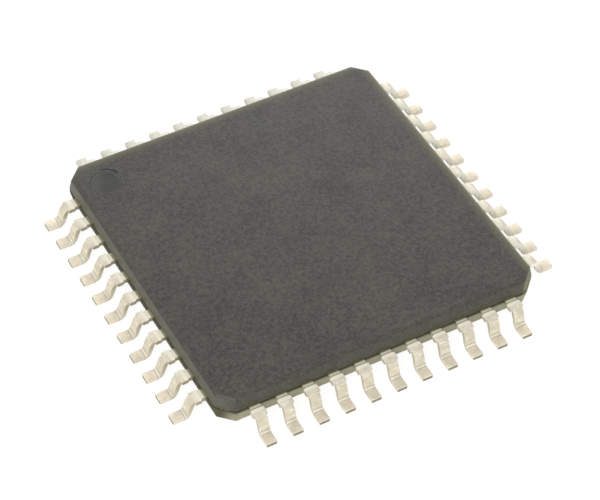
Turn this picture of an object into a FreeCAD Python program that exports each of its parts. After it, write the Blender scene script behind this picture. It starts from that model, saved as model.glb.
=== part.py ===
import FreeCAD, Part
import math
import os

# Integrated circuit in a thin quad flat pack.
# The origin is the centre of the seating plane, +Z is up, and pin one is at the corner where
# X is lowest and Y is highest. Lengths are in millimetres and angles in degrees.

# Leads outside the moulding
LEADS_PER_SIDE = 11
LEAD_PITCH = 0.80
CORNER_MARGIN = 1.00          # middle of the last lead to the next side of the moulding
LEAD_REACH = 1.00             # side of the moulding to the toe
LEAD_WIDTH = 0.31
LEAD_THICKNESS = 0.14
NECK_WIDTH = 0.33             # through the side of the moulding
NECK_LENGTH = 0.15            # side of the moulding to the stubs of the dam bar
DAM_STUB_WIDTH = 0.41         # over the stubs that the cut dam bar leaves on both edges
DAM_STUB_LENGTH = 0.20
LEG_SETBACK = 0.52            # toe to the middle of the leg
LEG_LEAN = 20.0               # leg away from upright
SHOULDER_BEND = 0.12          # inside radius
HEEL_BEND = 0.12              # inside radius
INSIDE_CHORDS = 3             # chords for the inside of a bend, within 0.003 of its arc
OUTSIDE_CHORDS = 3            # chords for the outside of a bend, within 0.006 of its arc

# Moulding
STANDOFF = 0.06
LOWER_HEIGHT = 0.43           # underside of the moulding to the underside of the leads
UPPER_HEIGHT = 0.43           # top of the leads to the top of the moulding
DRAFT = 12.0
CORNER_CUT = 0.45
CORNER_RADIUS = 0.15
RIM_RADIUS = 0.12
PARTING_RECESS = 0.03         # depth of the groove where the mould's halves met
PARTING_GROOVE = 0.08         # height of that groove, centred on the top of the leads
PIN_MARK_DIAMETER = 0.95
PIN_MARK_DEPTH = 0.06
PIN_MARK_SLOPE = 30.0         # wall of the mark away from upright
PIN_MARK_FROM_LEFT = 0.92
PIN_MARK_FROM_BACK = 1.02

# Lead frame inside the moulding
PAD_MARGIN = 0.70             # edge of the die to the edge of its pad
PAD_DOWNSET = 0.12
TIE_BAR_WIDTH = 0.25
TIE_BAR_RAMP = 0.20           # level run over which a tie bar climbs
TIE_BAR_FOOT = 0.15           # level run between the pad's corner and the ramp
FINGER_GAP = 0.25             # edge of the pad to the bonding tips
FINGER_CORNER_GAP = 0.20      # last bonding tip's middle inside the pad's corner
FINGER_TIP_WIDTH = 0.22
FINGER_ROOT_LENGTH = 0.20     # straight run just inside the moulding

# Die and its bonds
DIE_SIDE = 3.20
DIE_THICKNESS = 0.25
ATTACH_THICKNESS = 0.025
ATTACH_MARGIN = 0.08
BOND_PAD_INSET = 0.10
BOND_PAD_CORNER_GAP = 0.20    # last bond pad's middle inside the die's corner
WIRE_THICKNESS = 0.03
WIRE_RISE = 0.12              # top of the die to the top of the loop
STITCH_INSET = 0.20           # bonding tip's end to the flattened end of the wire
STITCH_LENGTH = 0.08

# Worked out from the sizes above
HALF_ROW = (LEADS_PER_SIDE - 1) / 2
BODY_HALF = HALF_ROW * LEAD_PITCH + CORNER_MARGIN
TOE = BODY_HALF + LEAD_REACH
FRAME_BOTTOM = STANDOFF + LOWER_HEIGHT
FRAME_TOP = FRAME_BOTTOM + LEAD_THICKNESS
GROOVE_BOTTOM = FRAME_TOP - PARTING_GROOVE / 2
GROOVE_TOP = FRAME_TOP + PARTING_GROOVE / 2
BODY_TOP = FRAME_TOP + UPPER_HEIGHT
CORNER_FACE = (2 * BODY_HALF - CORNER_CUT) / math.sqrt(2)
DIE_HALF = DIE_SIDE / 2
PAD_HALF = DIE_HALF + PAD_MARGIN
PAD_TOP = FRAME_TOP - PAD_DOWNSET
PAD_BOTTOM = PAD_TOP - LEAD_THICKNESS
DIE_BOTTOM = PAD_TOP + ATTACH_THICKNESS
DIE_TOP = DIE_BOTTOM + DIE_THICKNESS
FINGER_TIP = PAD_HALF + FINGER_GAP
TIP_PITCH = (PAD_HALF - FINGER_CORNER_GAP) / HALF_ROW
BOND_PAD_PITCH = (DIE_HALF - BOND_PAD_CORNER_GAP) / HALF_ROW
DRAFT_SLOPE = math.tan(math.radians(DRAFT))
SIDES = ("left", "front", "right", "back")
FIRST_SIDE_ANGLE = 180.0
QUARTER_TURN = 90.0
UP = FreeCAD.Vector(0, 0, 1)
ORIGIN = FreeCAD.Vector(0, 0, 0)
SAME_HEIGHT = 0.001           # heights closer than this count as one


def polygon(points):
    """Closed wire through a list of vectors."""
    return Part.makePolygon(points + points[:1])


def upright_plate(points, width):
    """Solid of an outline in the XZ plane, thickened by half the width each way along Y."""
    outline = polygon([FreeCAD.Vector(x, -width / 2, z) for x, z in points])
    return Part.Face(outline).extrude(FreeCAD.Vector(0, width, 0))


def bend_points(centre, radius, start, end, chords):
    """Evenly spaced points on an arc in the XZ plane, with angles in radians from +X towards +Z."""
    x, z = centre
    angles = [start + (end - start) * n / chords for n in range(chords + 1)]
    return [(x + radius * math.cos(a), z + radius * math.sin(a)) for a in angles]


def on_side(shape, number):
    """A shape built towards +X, turned to stand on one of the four sides."""
    turned = shape.copy()
    turned.rotate(ORIGIN, UP, FIRST_SIDE_ANGLE + QUARTER_TURN * number)
    return turned


def octagon(inset, z):
    """Square outline with cut corners, the same distance inside the parting line all round."""
    half = BODY_HALF - inset
    cut = CORNER_CUT - inset * (2 - math.sqrt(2))
    short = half - cut
    corners = [(-half, -short), (-short, -half), (short, -half), (half, -short),
               (half, short), (short, half), (-short, half), (-half, short)]
    return polygon([FreeCAD.Vector(x, y, z) for x, y in corners])


def drafted_half(z_parting, z_face):
    """One half of the moulding: drafted walls, rounded corners and a rounded outer rim."""
    inset = abs(z_face - z_parting) * DRAFT_SLOPE
    block = Part.makeLoft([octagon(0, z_parting), octagon(inset, z_face)], True, True)
    lean_edges = [e for e in block.Edges if abs(e.Vertexes[0].Z - e.Vertexes[1].Z) > SAME_HEIGHT]
    block = block.makeFillet(CORNER_RADIUS, lean_edges)
    rim = [e for e in block.Edges if all(abs(v.Z - z_face) < SAME_HEIGHT for v in e.Vertexes)]
    return block.makeFillet(RIM_RADIUS, rim)


def pin_mark():
    """Shallow dished mark with sloping walls, beside the corner of pin one."""
    mouth = PIN_MARK_DIAMETER / 2
    floor = mouth - PIN_MARK_DEPTH * math.tan(math.radians(PIN_MARK_SLOPE))
    place = FreeCAD.Vector(PIN_MARK_FROM_LEFT - BODY_HALF, BODY_HALF - PIN_MARK_FROM_BACK,
                           BODY_TOP - PIN_MARK_DEPTH)
    return Part.makeCone(floor, mouth, PIN_MARK_DEPTH, place)


def moulding_envelope():
    """Outer form of the moulding, before anything is embedded in it."""
    lower = drafted_half(GROOVE_BOTTOM, STANDOFF)
    upper = drafted_half(GROOVE_TOP, BODY_TOP)
    core = Part.Face(octagon(PARTING_RECESS, GROOVE_BOTTOM)).extrude(UP * PARTING_GROOVE)
    return lower.fuse([core, upper]).cut(pin_mark()).removeSplitter()


def lead_side_outline():
    """Side outline of a lead: bonding tip, level shoulder, bend, leaning leg, bend and level foot."""
    half = LEAD_THICKNESS / 2
    shoulder = SHOULDER_BEND + half
    heel = HEEL_BEND + half
    turn = math.pi / 2 - math.radians(LEG_LEAN)
    fall = FRAME_TOP - LEAD_THICKNESS
    straight_drop = fall - (shoulder + heel) * (1 - math.cos(turn))
    leg_run = straight_drop / math.tan(turn)
    leg_middle = TOE - LEG_SETBACK
    shoulder_centre = (leg_middle - leg_run / 2 - shoulder * math.sin(turn), FRAME_TOP - half - shoulder)
    heel_centre = (leg_middle + leg_run / 2 + heel * math.sin(turn), half + heel)
    level = math.pi / 2
    leaning = level - turn
    top = [(FINGER_TIP, FRAME_TOP)]
    top += bend_points(shoulder_centre, shoulder + half, level, leaning, OUTSIDE_CHORDS)
    top += bend_points(heel_centre, heel - half, leaning + math.pi, level + math.pi, INSIDE_CHORDS)
    bottom = bend_points(heel_centre, heel + half, level + math.pi, leaning + math.pi, OUTSIDE_CHORDS)
    bottom += bend_points(shoulder_centre, shoulder - half, leaning, level, INSIDE_CHORDS)
    return top + [(TOE, LEAD_THICKNESS), (TOE, 0)] + bottom + [(FINGER_TIP, FRAME_BOTTOM)]


def lead_plan_face(place):
    """Plan outline of a lead: tip by the pad, slanted finger, neck, dam bar stubs and outer length."""
    out = place * LEAD_PITCH
    tip = place * TIP_PITCH
    root = BODY_HALF - FINGER_ROOT_LENGTH
    stub_start = BODY_HALF + NECK_LENGTH
    stub_end = stub_start + DAM_STUB_LENGTH
    one_side = [(FINGER_TIP, tip, FINGER_TIP_WIDTH), (root, out, NECK_WIDTH),
                (stub_start, out, NECK_WIDTH), (stub_start, out, DAM_STUB_WIDTH),
                (stub_end, out, DAM_STUB_WIDTH), (stub_end, out, LEAD_WIDTH), (TOE, out, LEAD_WIDTH)]
    right = [FreeCAD.Vector(x, y - width / 2, 0) for x, y, width in one_side]
    left = [FreeCAD.Vector(x, y + width / 2, 0) for x, y, width in reversed(one_side)]
    return Part.Face(polygon(right + left))


def lead(place):
    """One lead towards +X, at its place in the row counted from the middle."""
    bent_sheet = upright_plate(lead_side_outline(), 2 * BODY_HALF)
    blank = lead_plan_face(place).extrude(UP * FRAME_TOP)
    return bent_sheet.common(blank).Solids[0]


def tie_bar(number):
    """Bar from the pad's corner up to the frame's level, cut flush at the moulding's corner."""
    pad_corner = PAD_HALF * math.sqrt(2)
    start = pad_corner - TIE_BAR_WIDTH
    ramp = pad_corner + TIE_BAR_FOOT
    top_of_ramp = ramp + TIE_BAR_RAMP
    end = CORNER_FACE - PARTING_RECESS
    top = [(start, PAD_TOP), (ramp, PAD_TOP), (top_of_ramp, FRAME_TOP), (end, FRAME_TOP)]
    bottom = [(x, z - LEAD_THICKNESS) for x, z in reversed(top)]
    bar = upright_plate(top + bottom, TIE_BAR_WIDTH)
    bar.rotate(ORIGIN, UP, QUARTER_TURN / 2 + QUARTER_TURN * number)
    return bar


def slab(half, z, thickness):
    """Square plate about the middle of the part."""
    return Part.makeBox(2 * half, 2 * half, thickness, FreeCAD.Vector(-half, -half, z))


def die_pad():
    """Downset pad with its four tie bars."""
    pad = slab(PAD_HALF, PAD_BOTTOM, LEAD_THICKNESS)
    return pad.fuse([tie_bar(n) for n in range(len(SIDES))]).removeSplitter().Solids[0]


def finger_middle(place, x):
    """Y of a finger's middle at some X between its bonding tip and its straight root."""
    root = BODY_HALF - FINGER_ROOT_LENGTH
    share = (x - FINGER_TIP) / (root - FINGER_TIP)
    return place * (TIP_PITCH + share * (LEAD_PITCH - TIP_PITCH))


def bond_wire(place):
    """Rise, loop and flattened stitch of one wire towards +X, from the die to a bonding tip."""
    x_die, y_die = DIE_HALF - BOND_PAD_INSET, place * BOND_PAD_PITCH
    x_stitch = FINGER_TIP + STITCH_INSET
    y_stitch = finger_middle(place, x_stitch)
    span = math.hypot(x_stitch - x_die, y_stitch - y_die)
    heading = math.degrees(math.atan2(y_stitch - y_die, x_stitch - x_die))
    loop_top = DIE_TOP + WIRE_RISE
    outline = [(0, DIE_TOP), (0, loop_top), (span, FRAME_TOP + WIRE_THICKNESS),
               (span + STITCH_LENGTH, FRAME_TOP), (span, FRAME_TOP),
               (WIRE_THICKNESS, loop_top - WIRE_THICKNESS), (WIRE_THICKNESS, DIE_TOP)]
    wire = upright_plate(outline, WIRE_THICKNESS)
    wire.rotate(ORIGIN, UP, heading)
    wire.translate(FreeCAD.Vector(x_die, y_die, 0))
    return wire


def build():
    """Every sub-part by its node's name."""
    places = [n - HALF_ROW for n in range(LEADS_PER_SIDE)]
    row_of_leads = [lead(place) for place in places]
    row_of_wires = [bond_wire(place) for place in places]
    parts = {}
    for number, side in enumerate(SIDES):
        for n, shape in enumerate(row_of_leads):
            parts["lead_%02d" % (number * LEADS_PER_SIDE + n + 1)] = on_side(shape, number)
    wires = {side: [on_side(wire, number) for wire in row_of_wires] for number, side in enumerate(SIDES)}
    parts["die_pad"] = die_pad()
    parts["die_attach"] = slab(DIE_HALF + ATTACH_MARGIN, PAD_TOP, ATTACH_THICKNESS)
    parts["silicon_die"] = slab(DIE_HALF, DIE_BOTTOM, DIE_THICKNESS)
    embedded = list(parts.values()) + [wire for side in SIDES for wire in wires[side]]
    parts["moulded_body"] = moulding_envelope().cut(embedded)
    for side in SIDES:
        parts["bond_wires_" + side] = Part.makeCompound(wires[side])
    return parts


os.makedirs("parts", exist_ok=True)
for name, shape in build().items():
    print(name, "solids", len(shape.Solids), "volume", round(shape.Volume, 5), "valid", shape.isValid())
    shape.exportStep(os.path.join("parts", name + ".step"))
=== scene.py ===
import math

import bpy
import numpy as np
from mathutils import Matrix, Vector


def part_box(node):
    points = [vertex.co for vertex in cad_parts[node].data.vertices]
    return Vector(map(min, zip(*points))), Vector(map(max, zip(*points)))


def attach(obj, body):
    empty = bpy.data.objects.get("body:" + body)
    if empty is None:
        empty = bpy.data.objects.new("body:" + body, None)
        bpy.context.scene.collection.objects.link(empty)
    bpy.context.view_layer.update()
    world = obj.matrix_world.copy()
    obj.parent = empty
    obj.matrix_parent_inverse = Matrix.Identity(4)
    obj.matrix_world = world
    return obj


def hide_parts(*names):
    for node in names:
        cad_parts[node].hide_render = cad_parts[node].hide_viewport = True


# Integrated circuit in a thin quad flat pack: a matte dark moulding with a dished mark by its
# first lead, and rows of bent, tin-plated leads along its four sides.
# Lengths are in metres, in the frame's own coordinates, unless a name or comment says otherwise.

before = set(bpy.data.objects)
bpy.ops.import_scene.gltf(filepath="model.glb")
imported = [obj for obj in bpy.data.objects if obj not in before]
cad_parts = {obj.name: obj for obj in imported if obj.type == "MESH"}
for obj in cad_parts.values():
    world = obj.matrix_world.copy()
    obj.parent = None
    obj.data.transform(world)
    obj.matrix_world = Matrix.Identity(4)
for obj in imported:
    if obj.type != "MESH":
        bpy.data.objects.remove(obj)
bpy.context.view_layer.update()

MM = 0.001
SIDES = 4
FIRST_SIDE_ANGLE = math.pi
QUARTER_TURN = math.pi / 2
EIGHTH_TURN = math.pi / 4

# Sizes read from the frame
body_low, body_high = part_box("moulded_body")
first_low, first_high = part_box("lead_01")
second_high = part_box("lead_02")[1]
LEADS = sorted(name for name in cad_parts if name.startswith("lead_"))
LEADS_PER_SIDE = len(LEADS) // SIDES
BODY_HALF = body_high.x
BODY_TOP = body_high.z
STANDOFF = body_low.z
TOE = -first_low.x
FINGER_TIP = -first_high.x
LEAD_TOP = first_high.z
LEAD_PITCH = first_high.y - second_high.y

# Moulding
DRAFT = math.radians(12)
CORNER_CUT = 0.45 * MM
CORNER_RADIUS = 0.15 * MM
LEAST_CORNER_RADIUS = 0.05 * MM
RIM_RADIUS = 0.12 * MM
RIM_FLAT = 2 * RIM_RADIUS
LIP_RADIUS = 0.012 * MM
GROOVE_CORNER = 0.008 * MM
PARTING_RECESS = 0.03 * MM
PARTING_GROOVE = 0.08 * MM
PIN_MARK_RADIUS = 0.475 * MM
PIN_MARK_DEPTH = 0.06 * MM
PIN_MARK_SLOPE = math.radians(30)
PIN_MARK_EDGE = 0.014 * MM
PIN_MARK_X = 0.92 * MM - BODY_HALF
PIN_MARK_Y = BODY_HALF - 1.02 * MM
AWAY_X, AWAY_Y = 0.49, 0.87   # level direction away from the photograph's camera
GROOVE_TOP = LEAD_TOP + PARTING_GROOVE / 2
GROOVE_BOTTOM = LEAD_TOP - PARTING_GROOVE / 2
CORNER_FACE = (2 * BODY_HALF - CORNER_CUT) / math.sqrt(2)
FLATS = 8

# Leads
LEAD_WIDTH = 0.31 * MM
LEAD_THICKNESS = 0.14 * MM
NECK_WIDTH = 0.33 * MM
DAM_STUB_WIDTH = 0.41 * MM
DAM_STUB_START = BODY_HALF + 0.15 * MM
DAM_STUB_END = DAM_STUB_START + 0.20 * MM
DAM_STUB_SIDE = 0.012 * MM    # length over which a stub's side rises
LEG_MIDDLE = TOE - 0.52 * MM
LEG_LEAN = math.radians(20)
BEND_RADIUS = 0.12 * MM + LEAD_THICKNESS / 2
FINGER_ROOT = BODY_HALF - 0.20 * MM
FINGER_TIP_WIDTH = 0.22 * MM
TIP_PITCH = 0.42 * MM
EDGE_RADIUS = 0.016 * MM
END_BEVEL = 0.010 * MM

# How finely the surfaces are divided
SUPPORT = 0.003 * MM          # extra ring just beyond each rounding, which keeps flats flat
ARC_STEPS = 6
BEND_STEPS = 14
SIDE_STEPS = 120
CUT_STEPS = 6
TOP_STEPS = 4


# Surfaces


def shell(name, start, rings, end):
    """Closed surface over a grid: each ring closes on itself, quads join it to the next, and a fan of
    triangles runs from the first ring to the start point and from the last ring to the end point. If the
    summed signed volume of its triangles is negative, every face is turned over."""
    count, around = rings.shape[:2]
    vertices = np.concatenate([[start], rings.reshape(-1, 3), [end]])
    here = 1 + np.arange(count * around).reshape(count, around)
    beside = np.roll(here, -1, axis=1)
    quads = np.stack([here[:-1], beside[:-1], beside[1:], here[1:]], axis=-1).reshape(-1, 4)
    start_fan = np.stack([np.zeros(around, int), beside[0], here[0]], axis=-1)
    end_fan = np.stack([np.full(around, len(vertices) - 1), here[-1], beside[-1]], axis=-1)
    triangles = np.concatenate([quads[:, [0, 1, 2]], quads[:, [0, 2, 3]], start_fan, end_fan])
    a, b, c = (vertices[triangles[:, k]] for k in range(3))
    volume = np.einsum("ij,ij->i", a, np.cross(b, c)).sum()
    faces = quads.tolist() + start_fan.tolist() + end_fan.tolist()
    if volume < 0:
        faces = [face[::-1] for face in faces]
    mesh = bpy.data.meshes.new(name)
    mesh.from_pydata(vertices.tolist(), [], faces)
    mesh.polygons.foreach_set("use_smooth", np.ones(len(faces), bool))
    piece = bpy.data.objects.new(name, mesh)
    bpy.context.scene.collection.objects.link(piece)
    return piece


def rounded_profile(corners):
    """Open outline in a plane, from a list of (across, up, radius): at each inner corner an arc touches
    both of its straight runs. The arc's points are its centre plus its first and last radius, weighted
    by the sines of the angles left and passed over the sine of the whole turn. A support point stands
    just beyond each end."""
    points = [np.array([corners[0][:2]])]
    for before, corner, after in zip(corners, corners[1:], corners[2:]):
        at = np.array(corner[:2])
        back = np.array(before[:2]) - at
        ahead = np.array(after[:2]) - at
        back /= np.linalg.norm(back)
        ahead /= np.linalg.norm(ahead)
        radius = corner[2]
        half_angle = math.acos(np.clip(back @ ahead, -1, 1)) / 2
        tangent = radius / math.tan(half_angle)
        bisector = (back + ahead) / np.linalg.norm(back + ahead)
        centre = at + bisector * radius / math.sin(half_angle)
        turn = math.pi - 2 * half_angle
        passed = np.linspace(0, turn, ARC_STEPS + 1)[:, None]
        first = at + back * tangent - centre
        last = at + ahead * tangent - centre
        arc = centre + (np.sin(turn - passed) * first + np.sin(passed) * last) / math.sin(turn)
        points += [[at + back * (tangent + SUPPORT)], arc, [at + ahead * (tangent + SUPPORT)]]
    points.append(np.array([corners[-1][:2]]))
    return np.concatenate(points)


def octagon_ring(inset, height):
    """Ring round the moulding: eight flats at their distances from the middle less the inset, and between
    neighbouring flats an arc, whose centre lies its radius inside both. Flats are divided evenly."""
    radius = max(CORNER_RADIUS - inset, LEAST_CORNER_RADIUS)
    angles = np.arange(FLATS) * EIGHTH_TURN
    normals = np.stack([np.cos(angles), np.sin(angles)], axis=-1)
    reach = np.where(np.arange(FLATS) % 2, CORNER_FACE, BODY_HALF) - inset - radius
    pairs = np.stack([normals, np.roll(normals, -1, axis=0)], axis=1)
    centres = np.linalg.solve(pairs, np.stack([reach, np.roll(reach, -1)], axis=1)[..., None])[..., 0]
    turn = angles[:, None] + np.linspace(0, EIGHTH_TURN, ARC_STEPS + 1)
    arcs = centres[:, None] + radius * np.stack([np.cos(turn), np.sin(turn)], axis=-1)
    ring = []
    for n in range(FLATS):
        steps = SIDE_STEPS if n % 2 else CUT_STEPS
        share = np.linspace(0, 1, steps + 1)[1:-1, None]
        ring += [arcs[n], arcs[n][-1] * (1 - share) + arcs[(n + 1) % FLATS][0] * share]
    ring = np.concatenate(ring)
    return np.column_stack([ring, np.full(len(ring), height)])


def moulding():
    """Moulding as one grid: from the middle of the dished mark out to the rim of the top, down the upper
    wall, round the parting groove, down the lower wall and in to the middle of the underside."""
    top_inset = (BODY_TOP - GROOVE_TOP) * math.tan(DRAFT)
    under_inset = (GROOVE_BOTTOM - STANDOFF) * math.tan(DRAFT)
    wall = rounded_profile([
        (-top_inset - RIM_FLAT, BODY_TOP, 0),
        (-top_inset, BODY_TOP, RIM_RADIUS),
        (0, GROOVE_TOP, LIP_RADIUS),
        (-PARTING_RECESS, GROOVE_TOP, GROOVE_CORNER),
        (-PARTING_RECESS, GROOVE_BOTTOM, GROOVE_CORNER),
        (0, GROOVE_BOTTOM, LIP_RADIUS),
        (-under_inset, STANDOFF, RIM_RADIUS),
        (-under_inset - RIM_FLAT, STANDOFF, 0)])
    walls = np.stack([octagon_ring(-across, height) for across, height in wall])
    floor_radius = PIN_MARK_RADIUS - PIN_MARK_DEPTH * math.tan(PIN_MARK_SLOPE)
    dish = rounded_profile([
        (floor_radius / 2, BODY_TOP - PIN_MARK_DEPTH, 0),
        (floor_radius, BODY_TOP - PIN_MARK_DEPTH, PIN_MARK_EDGE),
        (PIN_MARK_RADIUS, BODY_TOP, PIN_MARK_EDGE),
        (PIN_MARK_RADIUS + RIM_RADIUS, BODY_TOP, 0)])
    bearing = np.arctan2(walls[0, :, 1] - PIN_MARK_Y, walls[0, :, 0] - PIN_MARK_X)
    mark = np.stack([
        PIN_MARK_X + dish[:, :1] * np.cos(bearing),
        PIN_MARK_Y + dish[:, :1] * np.sin(bearing),
        np.repeat(dish[:, 1:], len(bearing), axis=1)], axis=-1)
    share = (np.arange(1, TOP_STEPS) / TOP_STEPS)[:, None, None]
    top = mark[-1] * (1 - share) + walls[0] * share
    return shell("epoxy_moulding", (PIN_MARK_X, PIN_MARK_Y, BODY_TOP - PIN_MARK_DEPTH),
                 np.concatenate([mark, top, walls]), (0, 0, STANDOFF))


def lead_line():
    """Middle line of a lead, as distance out, height and downward turn: level from the tip through the
    shoulder, an arc down, the leaning leg, an arc back to level and the foot. A point on an arc is its
    centre plus the bend's radius times the cosine and sine of its angle."""
    turn = QUARTER_TURN - LEG_LEAN
    top = LEAD_TOP - LEAD_THICKNESS / 2
    foot = LEAD_THICKNESS / 2
    straight_drop = top - foot - 2 * BEND_RADIUS * (1 - math.cos(turn))
    run = straight_drop / math.tan(turn)
    shoulder_out = LEG_MIDDLE - run / 2 - BEND_RADIUS * math.sin(turn)
    heel_out = LEG_MIDDLE + run / 2 + BEND_RADIUS * math.sin(turn)
    sides = DAM_STUB_SIDE * np.array([-1, -0.5, 0.5, 1])   # the rise's ends, with a ring beyond each
    cuts = np.arcsin((DAM_STUB_END + sides - shoulder_out) / BEND_RADIUS)
    down = np.sort(np.append(np.linspace(0, turn, BEND_STEPS), cuts))
    up = np.linspace(turn, 0, BEND_STEPS)
    level = np.array([FINGER_TIP, FINGER_TIP + END_BEVEL, FINGER_TIP + 2 * END_BEVEL, FINGER_ROOT,
                      BODY_HALF, *(DAM_STUB_START + sides), shoulder_out - SUPPORT])
    flat = np.array([heel_out + SUPPORT, (heel_out + TOE) / 2, TOE - 2 * END_BEVEL, TOE - END_BEVEL, TOE])
    out = np.concatenate([level, shoulder_out + BEND_RADIUS * np.sin(down), [LEG_MIDDLE],
                          heel_out - BEND_RADIUS * np.sin(up), flat])
    height = np.concatenate([np.full(len(level), top), top - BEND_RADIUS * (1 - np.cos(down)),
                             [(top + foot) / 2], foot + BEND_RADIUS * (1 - np.cos(up)),
                             np.full(len(flat), foot)])
    turned = np.concatenate([np.zeros(len(level)), down, [turn], up, np.zeros(len(flat))])
    return out, height, turned


def smooth(x, low, high):
    """Smooth step: 0 below low, 1 above high, three t squared less two t cubed between them."""
    t = np.clip((x - low) / (high - low), 0, 1)
    return t * t * (3 - 2 * t)


def lead(name, side, place):
    """One lead as a rectangle with rounded edges, carried along the lead's middle line. Across, a point
    is the line's own sideways place plus its share of the width there, and through the sheet it is the
    line plus its share of the thickness, square to the line. Both ends are bevelled. The side and the
    place along it, counted from its middle, turn and shift the whole."""
    out, height, turned = lead_line()
    slant = np.clip((out - FINGER_TIP) / (FINGER_ROOT - FINGER_TIP), 0, 1)
    middle = place * (TIP_PITCH + slant * (LEAD_PITCH - TIP_PITCH))
    width = FINGER_TIP_WIDTH + slant * (NECK_WIDTH - FINGER_TIP_WIDTH)
    half = DAM_STUB_SIDE / 2
    width += (DAM_STUB_WIDTH - NECK_WIDTH) * smooth(out, DAM_STUB_START - half, DAM_STUB_START + half)
    width -= (DAM_STUB_WIDTH - LEAD_WIDTH) * smooth(out, DAM_STUB_END - half, DAM_STUB_END + half)
    bevel = np.zeros(len(out))
    bevel[[0, -1]] = END_BEVEL
    corner = np.linspace(0, QUARTER_TURN, ARC_STEPS // 2 + 1)
    quarters = np.arange(4)[:, None] * QUARTER_TURN
    angle = (quarters + corner).ravel()
    side_sign = np.repeat([1, -1, -1, 1], len(corner))
    face_sign = np.repeat([1, 1, -1, -1], len(corner))
    across = side_sign * (width / 2 - EDGE_RADIUS - bevel)[:, None] + EDGE_RADIUS * np.cos(angle)
    through = face_sign * (LEAD_THICKNESS / 2 - EDGE_RADIUS - bevel)[:, None] + EDGE_RADIUS * np.sin(angle)
    x = out[:, None] + through * np.sin(turned)[:, None]
    y = middle[:, None] + across
    z = height[:, None] + through * np.cos(turned)[:, None]
    spin = FIRST_SIDE_ANGLE + QUARTER_TURN * side
    rings = np.stack([x * math.cos(spin) - y * math.sin(spin), x * math.sin(spin) + y * math.cos(spin), z],
                     axis=-1)
    return shell(name, rings[0].mean(axis=0), rings, rings[-1].mean(axis=0))


# Materials

# Distances are in millimetres here. A tone is a linear colour. A coat is the share of the colour under
# it that it covers, then its tone. A rise is two distances from a place, at which a zone starts and is
# full. A stripe is the two distances between which a zone is full, then how soft its ends are. Other
# pairs are the values where a mask is 0 and where it is 1.

# Noises, as scale, detail and roughness
EPOXY_GRAIN = (10.0, 3.0, 0.65)
EPOXY_PITS = (30.0, 1.0, 0.5)
EPOXY_CLOUD = (0.8, 3.0, 0.5)
PLATING_GRAIN = (26.0, 3.0, 0.6)
PLATING_CLOUD = (5.0, 3.0, 0.6)
LEG_STREAKS = (1.0, 2.0, 0.5)
INSIDE_GRAIN = (12.0, 3.0, 0.5)

# Epoxy
EPOXY_TONES = ((0.004, 0.002, 0.001, 1), (0.053, 0.050, 0.035, 1))
EPOXY_CONTRASTS = (3.0, 0.9)         # of the grain and the cloud
EPOXY_ROUGHNESS = (0.36, 0.56)
SHADE_ROUGHNESS = 0.4                # added in the shade and on the cut corner
EPOXY_RELIEF = (0.7, 0.3)            # of the grain and the pits
EPOXY_BUMP = (0.008 * MM, 0.8)       # depth in metres, strength
PIT_LEVELS = (0.62, 0.72)
PIT_COAT = (0.5, (0.14, 0.14, 0.13, 1))
UPPER_RISE = (0.0, 0.1)              # from the top of the groove
FAR_RIM_RISE = (-0.45, -0.10)        # from the far sides
FAR_RIM_SHEEN_COAT = (0.55, (0.150, 0.145, 0.060, 1))
FAR_EDGE_RISE = (-0.16, -0.11)
FAR_EDGE_HIGHLIGHT_COAT = (0.5, (0.34, 0.33, 0.22, 1))

# The mark's painted light and shade. Stripes and the floor's rise count from its edge, the others from its
# middle, either away from the camera or sideways, to the camera's right.
MARK_FLOOR_RISE = (-0.015, -0.06)
MARK_FLOOR_SHARE = 0.7
MARK_FLOOR_SHADING_TONES = ((0.045, 0.045, 0.043, 1), (0.007, 0.007, 0.006, 1))
MARK_FLOOR_SIDEWAYS = (-0.32, 0.0)
MARK_WALL_STRIPE = (-0.07, -0.018, 0.006)
MARK_WALL_AWAY = (-0.15, 0.10)
MARK_WALL_SHEEN_COAT = (0.6, (0.100, 0.100, 0.086, 1))
MARK_LIP_STRIPE = (-0.020, 0.012, 0.010)
MARK_LIP_AWAY = (-0.10, 0.05)
MARK_LIP_SHARE = 0.7
MARK_FOOT_STRIPE = (-0.10, -0.05, 0.02)
MARK_FOOT_AWAY = (0.10, 0.30)
MARK_FOOT_SHARE = 0.6
MARK_HIGHLIGHT_COAT = (1.0, (0.125, 0.125, 0.110, 1))
MARK_LINE_STRIPE = (-0.010, 0.026, 0.008)
MARK_LINE_AWAY = (0.36, 0.46)
MARK_LINE_LEAN = 0.2                 # how far the black painted shadow line is turned to the right
MARK_SHADOW_LINE_COAT = (0.9, (0.004, 0.004, 0.003, 1))
MARK_SHADOW_LINE_METAL = 0.5                # a black metal reflects little, so the painted shadow line stays dark

# Walls, with their painted sheen, painted reflection and painted shade. Distances count from the top, the
# groove, the foot, a side or, as sums of x and y, from the place where two sides would meet.
RIM_RISE = (0.0, -0.003)
RIM_ABOVE_GROOVE = (0.0, 0.15)
RIM_FADE = (-0.006, -0.020)
RIM_SHEEN_SHARES = (0.38, 0.22)            # where the rounding starts and further down
RIM_SHEEN_TONE = (0.125, 0.122, 0.100, 1)
WALL_START = 0.06
WALL_SHEEN_COAT = (0.4, (0.075, 0.072, 0.042, 1))
BESIDE_CUT_RISE = (-1.1, -0.6)
BESIDE_CUT_DEPTH = (-0.02, -0.08)
BESIDE_CUT_SHEEN_COAT = (0.4, (0.070, 0.068, 0.026, 1))
CUT_CORNER_RISE = (-0.60, -0.54)
CUT_CORNER_HIGHLIGHT_COAT = (0.6, (0.30, 0.29, 0.20, 1))
WALL_DEPTH = (-0.03, -0.11)
LEFT_WALL_RISE = (0.45, 0.15)
LEFT_WALL_SHEEN_COAT = (0.35, (0.150, 0.146, 0.104, 1))
LOWER_RISE = (-0.02, -0.13)
LOWER_ABOVE_FOOT = (0.01, 0.09)
FRONT_CUT_RISE = (0.65, 0.45)
LOWER_REFLECTION_SHARES = (1.0, 0.6)            # on the walls and on the cut corner nearest the camera
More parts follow.
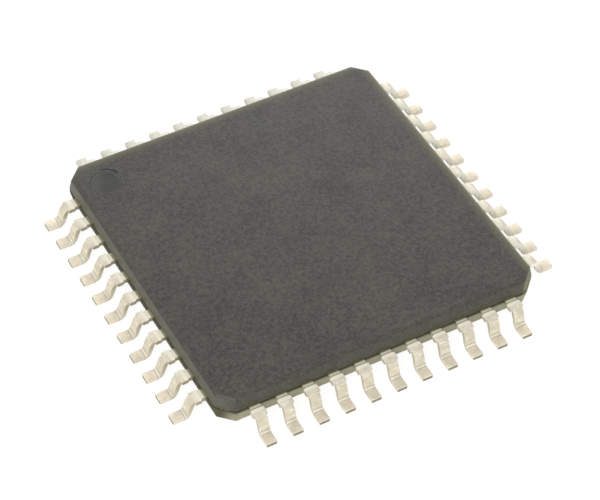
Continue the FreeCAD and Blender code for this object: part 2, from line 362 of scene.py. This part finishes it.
LOWER_REFLECTION_TONE = (0.34, 0.315, 0.19, 1)
SHADE_ABOVE, SHADE_BELOW = 0.02, 0.04
SHADE_COAT = (0.9, (0.050, 0.047, 0.018, 1))
GROOVE_SPILL, GROOVE_SOFT = 0.05, 0.03
GROOVE_SHADE_COAT = (0.55, (0.072, 0.065, 0.022, 1))

# Plating. A pair of shares is for the leads of the left and right sides, then of the front and back.
PLATING_TONES = ((0.68, 0.62, 0.49, 1), (0.92, 0.87, 0.74, 1))
PLATING_CONTRASTS = (1.2, 2.2)       # of the grain and the cloud
PLATING_ROUGHNESS = (0.40, 0.65)
PLATING_METAL = (0.30, 0.0)          # on the lead and at its root
PLATING_RELIEF = (0.6, 0.4)          # of the grain and the cloud
PLATING_BUMP = (0.006 * MM, 0.6)     # depth in metres, strength
END_SIDES_RISE = (-0.1, 0.1)
FAR_SIDES_RISE = (-0.1, 0.0)
ROOT_RISE = (0.30, 0.20)             # this, the strip, the line and the gap from the moulding's side
ROOT_LIGHT_COAT = (1.0, (1.0, 0.95, 0.77, 1))
STRIP_RISE = (0.125, 0.110)
STRIP_SHADE_SHARES = (0.10, 0.65)
STRIP_SHADE_TONE = (0.48, 0.48, 0.35, 1)
LINE_STRIPE = (0.104, 0.130, 0.010)  # dark line between the neck and the dam stub
LINE_SHARES = (0.10, 0.90)
GAP_RISE = (0.065, 0.040)            # painted shadow where the lead leaves the moulding's shaded groove
GAP_LEAN = 0.025                     # how much narrower it is on the front and back sides
GAP_SHARES = (0.85, 1.0)
GAP_SHADOW_AND_LINE_COAT = (0.9, (0.14, 0.13, 0.06, 1))
STUB_MARGIN, STUB_SOFT = 0.014, 0.004
FLANK_RISE = (-0.008, -0.002)        # from the edge of the lead's upper face
FLANK_HEIGHTS = (0.15, 0.50)
FLANK_SHADE_SHARES = (0.85, 0.50)
FLANK_SHADE_TONE = (0.34, 0.29, 0.18, 1)
FAR_FLANK_LIGHT_COAT = (0.7, (1.0, 0.98, 0.90, 1))
LEG_START, LEG_END, LEG_SOFT = 0.36, 0.43, 0.06
STREAK_STRETCH = (3, 26, 0)          # across the lead and along it
STREAK_LEVELS = (0.25, 0.65)
STREAK_COAT = (0.8, (0.58, 0.51, 0.38, 1))
HEEL_CREASE = (-0.41, -0.395, 0.015) # this and the next three from the toe
FOOT_CREASE = (-0.345, -0.325, 0.02)
WORN_STRIPE = (-0.24, -0.10, 0.07)
CUT_END_RISE = (-0.010, -0.004)
BEND_SHADE_COAT = (0.7, (0.30, 0.26, 0.17, 1))
WORN_LEVELS = (0.3, 0.6)
WORN_COAT = (0.6, (0.84, 0.66, 0.45, 1))
FAR_SHADE_SHARES = (0.10, 0.65)
FAR_SHADE_TONE = (0.60, 0.61, 0.55, 1)
CUT_END_HEIGHTS = (0.125, 0.095)
CUT_END_COAT = (1.0, (0.27, 0.235, 0.14, 1))

# Pieces inside
INSIDE_ROUGHENING = 0.2
INSIDE_BUMP = 0.002 * MM             # in metres

# Floor and sky
PAPER_TONE = (0.93, 0.92, 0.90, 1)
PLAIN_WHITE = (1, 1, 1, 1)
FLOOR_GLOW = 1.12
FLOOR_GLOW_SHARE = 0.8               # share of the even white in what is seen
SKY_LEVELS = (0.95, 0.50)            # at the skyline and overhead
SKY_RISE = (0.2, 1.0)


class Flow:
    """A value on its way through a node tree: wraps an output socket, and arithmetic adds Math nodes."""

    def __init__(self, graph, socket):
        self.graph = graph
        self.socket = socket

    def output(self, name):
        """Another output of the same node."""
        return Flow(self.graph, self.socket.node.outputs[name])

    def math(self, operation, *values):
        return self.graph.node("Math", {"operation": operation}, dict(enumerate(values)))

    def __add__(self, other):
        return self.math("ADD", self, other)

    __radd__ = __add__

    def __sub__(self, other):
        return self.math("SUBTRACT", self, other)

    def __rsub__(self, other):
        return self.math("SUBTRACT", other, self)

    def __mul__(self, other):
        return self.math("MULTIPLY", self, other)

    __rmul__ = __mul__

    def __abs__(self):
        return self.math("ABSOLUTE", self)

    def most(self, other):
        return self.math("MAXIMUM", self, other)

    def least(self, other):
        return self.math("MINIMUM", self, other)

    def between(self, first, second):
        """The first number where this is 0 and the second where it is 1."""
        return self * (second - first) + first

    def ramp(self, low, high):
        """0 at low and 1 at high, smooth between them and level beyond them. Low may be above high."""
        return self.graph.node("MapRange", {"interpolation_type": "SMOOTHSTEP"},
                               {"Value": self, "From Min": low, "From Max": high})

    def band(self, low, high, soft):
        """1 between low and high and 0 outside, over a soft edge."""
        return self.ramp(low - soft, low + soft) * self.ramp(high + soft, high - soft)

    def rise(self, place, start, full):
        """A ramp between two distances from a place."""
        return self.ramp(place + start, place + full)

    def stripe(self, place, start, end, soft):
        """A band between two distances from a place."""
        return self.band(place + start, place + end, soft)


class Graph:
    """A node tree being built."""

    def __init__(self, tree):
        self.tree = tree
        tree.nodes.clear()

    def node(self, kind, settings=(), sockets=(), output=0):
        """Adds a node, makes its settings, then gives its sockets their values or links. Gives an output,
        or nothing for a kind of node that has none."""
        made = self.tree.nodes.new("ShaderNode" + kind)
        for name, value in dict(settings).items():
            setattr(made, name, value)
        for key, value in dict(sockets).items():
            if isinstance(value, Flow):
                self.tree.links.new(value.socket, made.inputs[key])
            else:
                made.inputs[key].default_value = value
        return Flow(self, made.outputs[output]) if made.outputs else None

    def millimetres(self):
        """Object coordinates in millimetres."""
        place = self.node("TexCoord", output="Object")
        return self.node("VectorMath", {"operation": "SCALE"}, {0: place, "Scale": 1 / MM})

    def noise(self, place, scale, detail, roughness):
        return self.node("TexNoise", (), {"Vector": place, "Scale": scale, "Detail": detail,
                                          "Roughness": roughness})

    def mix(self, factor, first, second):
        """Colour blend: the first colour where the factor is 0, the second where it is 1."""
        return self.node("Mix", {"data_type": "RGBA"}, {0: factor, 6: first, 7: second}, output=2)

    def mottled(self, grain, cloud, contrasts, tones):
        """Blend of two tones by two noises, each spread about its middle value by its own contrast."""
        factor = (grain - 0.5) * contrasts[0] + (cloud - 0.5) * contrasts[1] + 0.5
        return self.mix(factor, *tones)

    def coat(self, colour, zone, share, tone):
        """The colour with a tone over the given share of it where the zone is 1."""
        return self.mix(zone * share, colour, tone)

    def bump(self, height, distance, strength=1.0):
        return self.node("Bump", (), {"Height": height, "Distance": distance, "Strength": strength})


def new_material(name, surface):
    """Material whose surface is made by a function of its node graph."""
    material = bpy.data.materials.new(name)
    material.use_nodes = True
    graph = Graph(material.node_tree)
    graph.node("OutputMaterial", (), {"Surface": surface(graph)})
    return material


def mark_coats(graph, colour, x, y, upper):
    """Coats of the dished mark, all painted light and shade: painted shade on its floor, darker to the
    right, a painted sheen on its far wall, painted highlights on parts of its lip and of the wall's foot,
    and a black painted shadow line at its far lip. Gives the colour, the floor and the line."""
    edge = PIN_MARK_RADIUS / MM
    middle_x, middle_y = PIN_MARK_X / MM, PIN_MARK_Y / MM
    flat = graph.node("CombineXYZ", (), {0: x, 1: y})
    from_mark = graph.node("VectorMath", {"operation": "DISTANCE"},
                           {0: flat, 1: (middle_x, middle_y, 0)}, output="Value")
    away = (x - middle_x) * AWAY_X + (y - middle_y) * AWAY_Y
    sideways = (x - middle_x) * AWAY_Y - (y - middle_y) * AWAY_X
    # painted shade: the mark's floor lighter on the left and shaded towards the right
    floor_shade_tone = graph.mix(sideways.ramp(*MARK_FLOOR_SIDEWAYS), *MARK_FLOOR_SHADING_TONES)
    mark_floor = from_mark.rise(edge, *MARK_FLOOR_RISE) * upper
    colour = graph.coat(colour, mark_floor, MARK_FLOOR_SHARE, floor_shade_tone)
    # painted sheen on the mark's far wall
    lit_mark_wall = from_mark.stripe(edge, *MARK_WALL_STRIPE) * away.ramp(*MARK_WALL_AWAY) * upper
    colour = graph.coat(colour, lit_mark_wall, *MARK_WALL_SHEEN_COAT)
    at_shadow_line = (away + sideways * MARK_LINE_LEAN).ramp(*MARK_LINE_AWAY)
    # painted highlights on part of the lip and at the foot of the far wall
    lip = from_mark.stripe(edge, *MARK_LIP_STRIPE) * away.ramp(*MARK_LIP_AWAY)
    lip = lip * (1 - at_shadow_line) * upper * MARK_LIP_SHARE
    foot = from_mark.stripe(edge, *MARK_FOOT_STRIPE) * away.ramp(*MARK_FOOT_AWAY) * upper * MARK_FOOT_SHARE
    colour = graph.coat(colour, lip.most(foot), *MARK_HIGHLIGHT_COAT)
    # black painted shadow line under the far lip
    line = from_mark.stripe(edge, *MARK_LINE_STRIPE) * at_shadow_line * upper
    return graph.coat(colour, line, *MARK_SHADOW_LINE_COAT), mark_floor, line


def moulding_surface(graph):
    """Dark epoxy from a spark-eroded mould: fine pitted grain and cloudy tone, with painted light laid on
    as coats:
    painted sheen on its rims, walls, cut corners and left wall, a painted reflection of the floor that
    makes the lower walls paler, and painted shade in the parting groove, low on the left wall and in the
    mark."""
    side, top, foot = BODY_HALF / MM, BODY_TOP / MM, STANDOFF / MM
    groove_low, groove_high = GROOVE_BOTTOM / MM, GROOVE_TOP / MM
    square_corner = 2 * side
    place = graph.millimetres()
    split = graph.node("SeparateXYZ", (), {0: place})
    x, y, height = split.output("X"), split.output("Y"), split.output("Z")
    grain = graph.noise(place, *EPOXY_GRAIN)
    pits = graph.noise(place, *EPOXY_PITS)
    cloud = graph.noise(place, *EPOXY_CLOUD)
    colour = graph.mottled(grain, cloud, EPOXY_CONTRASTS, EPOXY_TONES)
    colour = graph.coat(colour, pits.ramp(*PIT_LEVELS), *PIT_COAT)
    upper = height.rise(groove_high, *UPPER_RISE)
    # painted sheen along the rims of the far sides, where the rounding catches the backdrop
    far_rim_sheen = x.most(y).rise(side, *FAR_RIM_RISE) * upper
    colour = graph.coat(colour, far_rim_sheen, *FAR_RIM_SHEEN_COAT)
    # painted highlight at the edges of the far sides
    far_edge_highlight = x.most(y).rise(side, *FAR_EDGE_RISE) * upper
    colour = graph.coat(colour, far_edge_highlight, *FAR_EDGE_HIGHLIGHT_COAT)
    colour, mark_floor, line = mark_coats(graph, colour, x, y, upper)
    # painted sheen on the rounding of the top's rim, outside the mark's floor
    rim = height.rise(top, *RIM_RISE) * height.rise(groove_high, *RIM_ABOVE_GROOVE) * (1 - mark_floor)
    rim_sheen_share = height.rise(top, *RIM_FADE).between(*RIM_SHEEN_SHARES)
    colour = graph.coat(colour, rim, rim_sheen_share, RIM_SHEEN_TONE)
    # painted sheen on the upper walls, which reflect the pale floor
    wall = height.ramp(top - WALL_START, groove_high)
    colour = graph.coat(colour, wall, *WALL_SHEEN_COAT)
    # painted olive sheen on the upper walls beside the cut corner to the camera's right
    beside_cut_sheen = (x - y).rise(square_corner, *BESIDE_CUT_RISE) * height.rise(top, *BESIDE_CUT_DEPTH)
    colour = graph.coat(colour, beside_cut_sheen, *BESIDE_CUT_SHEEN_COAT)
    wall_depth = height.rise(top, *WALL_DEPTH)
    # painted highlight on the cut corner to the camera's right
    corner = (x - y).rise(square_corner, *CUT_CORNER_RISE) * wall_depth
    colour = graph.coat(colour, corner, *CUT_CORNER_HIGHLIGHT_COAT)
    # painted sheen on the left wall
    left_wall = x.rise(-side, *LEFT_WALL_RISE) * wall_depth
    colour = graph.coat(colour, left_wall, *LEFT_WALL_SHEEN_COAT)
    # painted reflection of the pale floor, which makes the lower walls paler; weaker on the cut corner
    # nearest the camera
    lower = height.rise(groove_low, *LOWER_RISE) * height.rise(foot, *LOWER_ABOVE_FOOT)
    front_cut = (x + y).rise(-square_corner, *FRONT_CUT_RISE)
    colour = graph.coat(colour, lower, front_cut.between(*LOWER_REFLECTION_SHARES), LOWER_REFLECTION_TONE)
    shade = left_wall * height.ramp(groove_high + SHADE_ABOVE, groove_low - SHADE_BELOW)
    colour = graph.coat(colour, shade, *SHADE_COAT)
    # painted shade in the parting groove
    groove = height.band(groove_low, groove_high + GROOVE_SPILL, GROOVE_SOFT)
    colour = graph.coat(colour, groove, *GROOVE_SHADE_COAT)
    roughness = grain.between(*EPOXY_ROUGHNESS) + shade.most(corner) * SHADE_ROUGHNESS
    relief = grain * EPOXY_RELIEF[0] + pits * EPOXY_RELIEF[1]
    return graph.node("BsdfPrincipled", (), {
        "Base Color": colour, "Metallic": line * MARK_SHADOW_LINE_METAL, "Roughness": roughness,
        "Normal": graph.bump(relief, *EPOXY_BUMP)})


def plated_surface(graph):
    """Matte tin on a bent lead: warm pale metal with a fine grain, painted light at the root, a strip of
    painted shade, a dark line and a painted shadow beside the moulding, painted shade on the flanks and on
    the far sides' leads, painted light on the far sides' flanks, streaks down the leg, painted shade in the
    heel's bend, a worn foot and a bare cut toe."""
    wall, toe = BODY_HALF / MM, TOE / MM
    place = graph.millimetres()
    split = graph.node("SeparateXYZ", (), {0: place})
    x, y, height = split.output("X"), split.output("Y"), split.output("Z")
    out = abs(x).most(abs(y))
    across = abs(x).least(abs(y))
    along = graph.node("CombineXYZ", (), {0: across, 1: out})
    at_ends = (abs(y) - abs(x)).ramp(*END_SIDES_RISE)
    at_far = x.most(y).rise(wall, *FAR_SIDES_RISE)
    grain = graph.noise(place, *PLATING_GRAIN)
    cloud = graph.noise(place, *PLATING_CLOUD)
    colour = graph.mottled(grain, cloud, PLATING_CONTRASTS, PLATING_TONES)
    # painted light on the lead's root beside the moulding
    root = out.rise(wall, *ROOT_RISE)
    colour = graph.coat(colour, root, *ROOT_LIGHT_COAT)
    # painted shade on a strip of the lead beside the moulding, stronger on the front and back
    strip = out.rise(wall, *STRIP_RISE)
    colour = graph.coat(colour, strip, at_ends.between(*STRIP_SHADE_SHARES), STRIP_SHADE_TONE)
    stub = out.band(DAM_STUB_START / MM - STUB_MARGIN, DAM_STUB_END / MM + STUB_MARGIN, STUB_SOFT)
    half_width = stub.between(LEAD_WIDTH / MM / 2, DAM_STUB_WIDTH / MM / 2)
    from_middle = graph.node("Math", {"operation": "PINGPONG"}, {0: across, 1: LEAD_PITCH / MM / 2})
    # painted shade on the lead's flanks, except on the far sides
    flank = (from_middle - half_width).ramp(*FLANK_RISE) * height.ramp(*FLANK_HEIGHTS)
    colour = graph.coat(colour, flank * (1 - at_far), at_ends.between(*FLANK_SHADE_SHARES), FLANK_SHADE_TONE)
    line = out.stripe(wall, *LINE_STRIPE) * at_ends.between(*LINE_SHARES)
    # painted shadow where the lead enters the shaded groove, in one coat with the dark line
    gap_shadow = (out + at_ends * GAP_LEAN).rise(wall, *GAP_RISE) * at_ends.between(*GAP_SHARES)
    colour = graph.coat(colour, line.most(gap_shadow), *GAP_SHADOW_AND_LINE_COAT)
    stretched = graph.node("VectorMath", {"operation": "MULTIPLY"}, {0: along, 1: STREAK_STRETCH})
    streaks = graph.noise(stretched, *LEG_STREAKS).ramp(*STREAK_LEVELS)
    leg = out.band(wall + LEG_START, toe - LEG_END, LEG_SOFT)
    colour = graph.coat(colour, leg * streaks, *STREAK_COAT)
    # painted shade in the heel's bend
    bend_shade = out.stripe(toe, *HEEL_CREASE).most(out.stripe(toe, *FOOT_CREASE))
    colour = graph.coat(colour, bend_shade, *BEND_SHADE_COAT)
    worn = out.stripe(toe, *WORN_STRIPE) * cloud.ramp(*WORN_LEVELS)
    colour = graph.coat(colour, worn, *WORN_COAT)
    # painted shade on the leads of the far sides
    colour = graph.coat(colour, at_far, at_ends.between(*FAR_SHADE_SHARES), FAR_SHADE_TONE)
    # painted light on the flanks of the far sides' leads
    colour = graph.coat(colour, flank * at_far, *FAR_FLANK_LIGHT_COAT)
    cut_end = out.rise(toe, *CUT_END_RISE) * height.ramp(*CUT_END_HEIGHTS)
    colour = graph.coat(colour, cut_end, *CUT_END_COAT)
    relief = grain * PLATING_RELIEF[0] + cloud * PLATING_RELIEF[1]
    return graph.node("BsdfPrincipled", (), {
        "Base Color": colour, "Metallic": root.between(*PLATING_METAL),
        "Roughness": grain.between(*PLATING_ROUGHNESS), "Normal": graph.bump(relief, *PLATING_BUMP)})


def plain_grained(pale, dark, metallic, roughness):
    """Surface function for what is sealed inside: one fine grain between two tones."""
    def surface(graph):
        grain = graph.noise(graph.millimetres(), *INSIDE_GRAIN)
        return graph.node("BsdfPrincipled", (), {
            "Base Color": graph.mix(grain, dark, pale), "Metallic": metallic,
            "Roughness": grain * INSIDE_ROUGHENING + roughness, "Normal": graph.bump(grain, INSIDE_BUMP)})
    return surface


def floor_surface(graph):
    """Pale floor: for the camera and in reflections it is mostly an even white, with part of its own shaded
    surface mixed in, and to the camera it is clear from below."""
    path = graph.node("LightPath", output="Is Camera Ray")
    seen = path.most(path.output("Is Glossy Ray")).most(path.output("Is Transmission Ray"))
    paper = graph.node("BsdfDiffuse", (), {"Color": PAPER_TONE})
    white = graph.node("Emission", (), {"Color": PLAIN_WHITE, "Strength": FLOOR_GLOW})
    above = graph.node("MixShader", (), {0: seen * FLOOR_GLOW_SHARE, 1: paper, 2: white})
    clear = graph.node("BsdfTransparent")
    under = graph.node("NewGeometry", output="Backfacing")
    return graph.node("MixShader", (), {0: under * path, 1: above, 2: clear})


# Pieces


def dress(piece, material, slot, *nodes):
    """Gives a new piece its material and its body, and hides the CAD nodes that it stands for. The slot is
    not used.
    """
    piece.data.materials.append(material)
    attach(piece, "root")
    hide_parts(*nodes)


plated = new_material("matte_tin", plated_surface)
dress(moulding(), new_material("dark_epoxy", moulding_surface), "mould_compound", "moulded_body")
for number, node in enumerate(LEADS):
    side, n = divmod(number, LEADS_PER_SIDE)
    place = n - (LEADS_PER_SIDE - 1) / 2
    dress(lead("tinned_" + node, side, place), plated, "plated_lead", node)

# Finishes of the CAD nodes that the moulding hides, by the start of their names
INSIDE = {
    "die_pad": plain_grained(
        pale=(0.50, 0.43, 0.34, 1), dark=(0.38, 0.32, 0.24, 1), metallic=0.8, roughness=0.45),
    "die_attach": plain_grained(
        pale=(0.55, 0.55, 0.53, 1), dark=(0.42, 0.42, 0.40, 1), metallic=0.0, roughness=0.5),
    "silicon_die": plain_grained(
        pale=(0.22, 0.23, 0.27, 1), dark=(0.16, 0.17, 0.20, 1), metallic=0.6, roughness=0.15),
    "bond_wires": plain_grained(
        pale=(0.90, 0.68, 0.25, 1), dark=(0.80, 0.58, 0.20, 1), metallic=1.0, roughness=0.2),
}
for name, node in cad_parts.items():
    for start, surface in INSIDE.items():
        if name.startswith(start):
            node.data.materials.clear()
            node.data.materials.append(new_material("inside_" + name, surface))


# Stage, light and camera

FLOOR_HALF = 2.0
FLOOR_DROP = 0.001 * MM
FLOOR_SHIFT = 100 * MM        # keeps the seam of the floor's two triangles clear of the part
corners = [(FLOOR_SHIFT + x * FLOOR_HALF, y * FLOOR_HALF, -FLOOR_DROP)
           for x, y in ((-1, -1), (1, -1), (1, 1), (-1, 1))]
floor_mesh = bpy.data.meshes.new("floor")
floor_mesh.from_pydata(corners, [], [(0, 1, 2, 3)])
floor = bpy.data.objects.new("floor", floor_mesh)
floor.data.materials.append(new_material("pale_floor", floor_surface))
bpy.context.scene.collection.objects.link(floor)

world = bpy.data.worlds.new("studio")
world.use_nodes = True
sky = Graph(world.node_tree)
seen = sky.node("LightPath", output="Is Camera Ray")
up = sky.node("SeparateXYZ", (), {0: sky.node("TexCoord", output="Generated")}, output="Z")
strength = seen + (1 - seen) * up.ramp(*SKY_RISE).between(*SKY_LEVELS)
sky.node("OutputWorld", (), {"Surface": sky.node("Background", (), {
    "Color": PLAIN_WHITE, "Strength": strength})})
bpy.context.scene.world = world


def soft_box(name, azimuth, elevation, distance, size, power):
    """Square area lamp that looks at the middle of the part from a direction in degrees."""
    a, e = math.radians(azimuth), math.radians(elevation)
    away = Vector((math.sin(a) * math.cos(e), -math.cos(a) * math.cos(e), math.sin(e)))
    data = bpy.data.lights.new(name, "AREA")
    data.size = size
    data.energy = power
    lamp = bpy.data.objects.new(name, data)
    lamp.location = away * distance
    lamp.rotation_euler = away.to_track_quat("Z", "Y").to_euler()
    bpy.context.scene.collection.objects.link(lamp)


soft_box("key_box", azimuth=-45, elevation=40, distance=0.30, size=0.20, power=0.42)
soft_box("back_box", azimuth=150, elevation=26, distance=0.30, size=0.16, power=0.30)

CAMERA_AZIMUTH = math.radians(-29.243)
CAMERA_ELEVATION = math.radians(47.298)
CAMERA_ROLL = math.radians(0.865)
CAMERA_DISTANCE = 65.83 * MM
CAMERA_TARGET = Vector((-0.196, -0.553, 0.5)) * MM
FOCAL_PIXELS = 2329.5
IMAGE_WIDTH = 600

back = Vector((math.sin(CAMERA_AZIMUTH) * math.cos(CAMERA_ELEVATION),
               -math.cos(CAMERA_AZIMUTH) * math.cos(CAMERA_ELEVATION), math.sin(CAMERA_ELEVATION)))
level_right = Vector((math.cos(CAMERA_AZIMUTH), math.sin(CAMERA_AZIMUTH), 0))
level_up = back.cross(level_right)
right = level_right * math.cos(CAMERA_ROLL) + level_up * math.sin(CAMERA_ROLL)
upward = level_up * math.cos(CAMERA_ROLL) - level_right * math.sin(CAMERA_ROLL)
camera_data = bpy.data.cameras.new("camera")
camera_data.lens = FOCAL_PIXELS / IMAGE_WIDTH * camera_data.sensor_width
camera_data.clip_start = CAMERA_DISTANCE / 100
camera_data.clip_end = 10 * FLOOR_HALF
camera = bpy.data.objects.new("camera", camera_data)
turned = Matrix((right, upward, back)).transposed()
camera.matrix_world = Matrix.Translation(CAMERA_TARGET + back * CAMERA_DISTANCE) @ turned.to_4x4()
bpy.context.scene.collection.objects.link(camera)
bpy.context.scene.camera = camera
bpy.context.scene.view_settings.view_transform = "Standard"
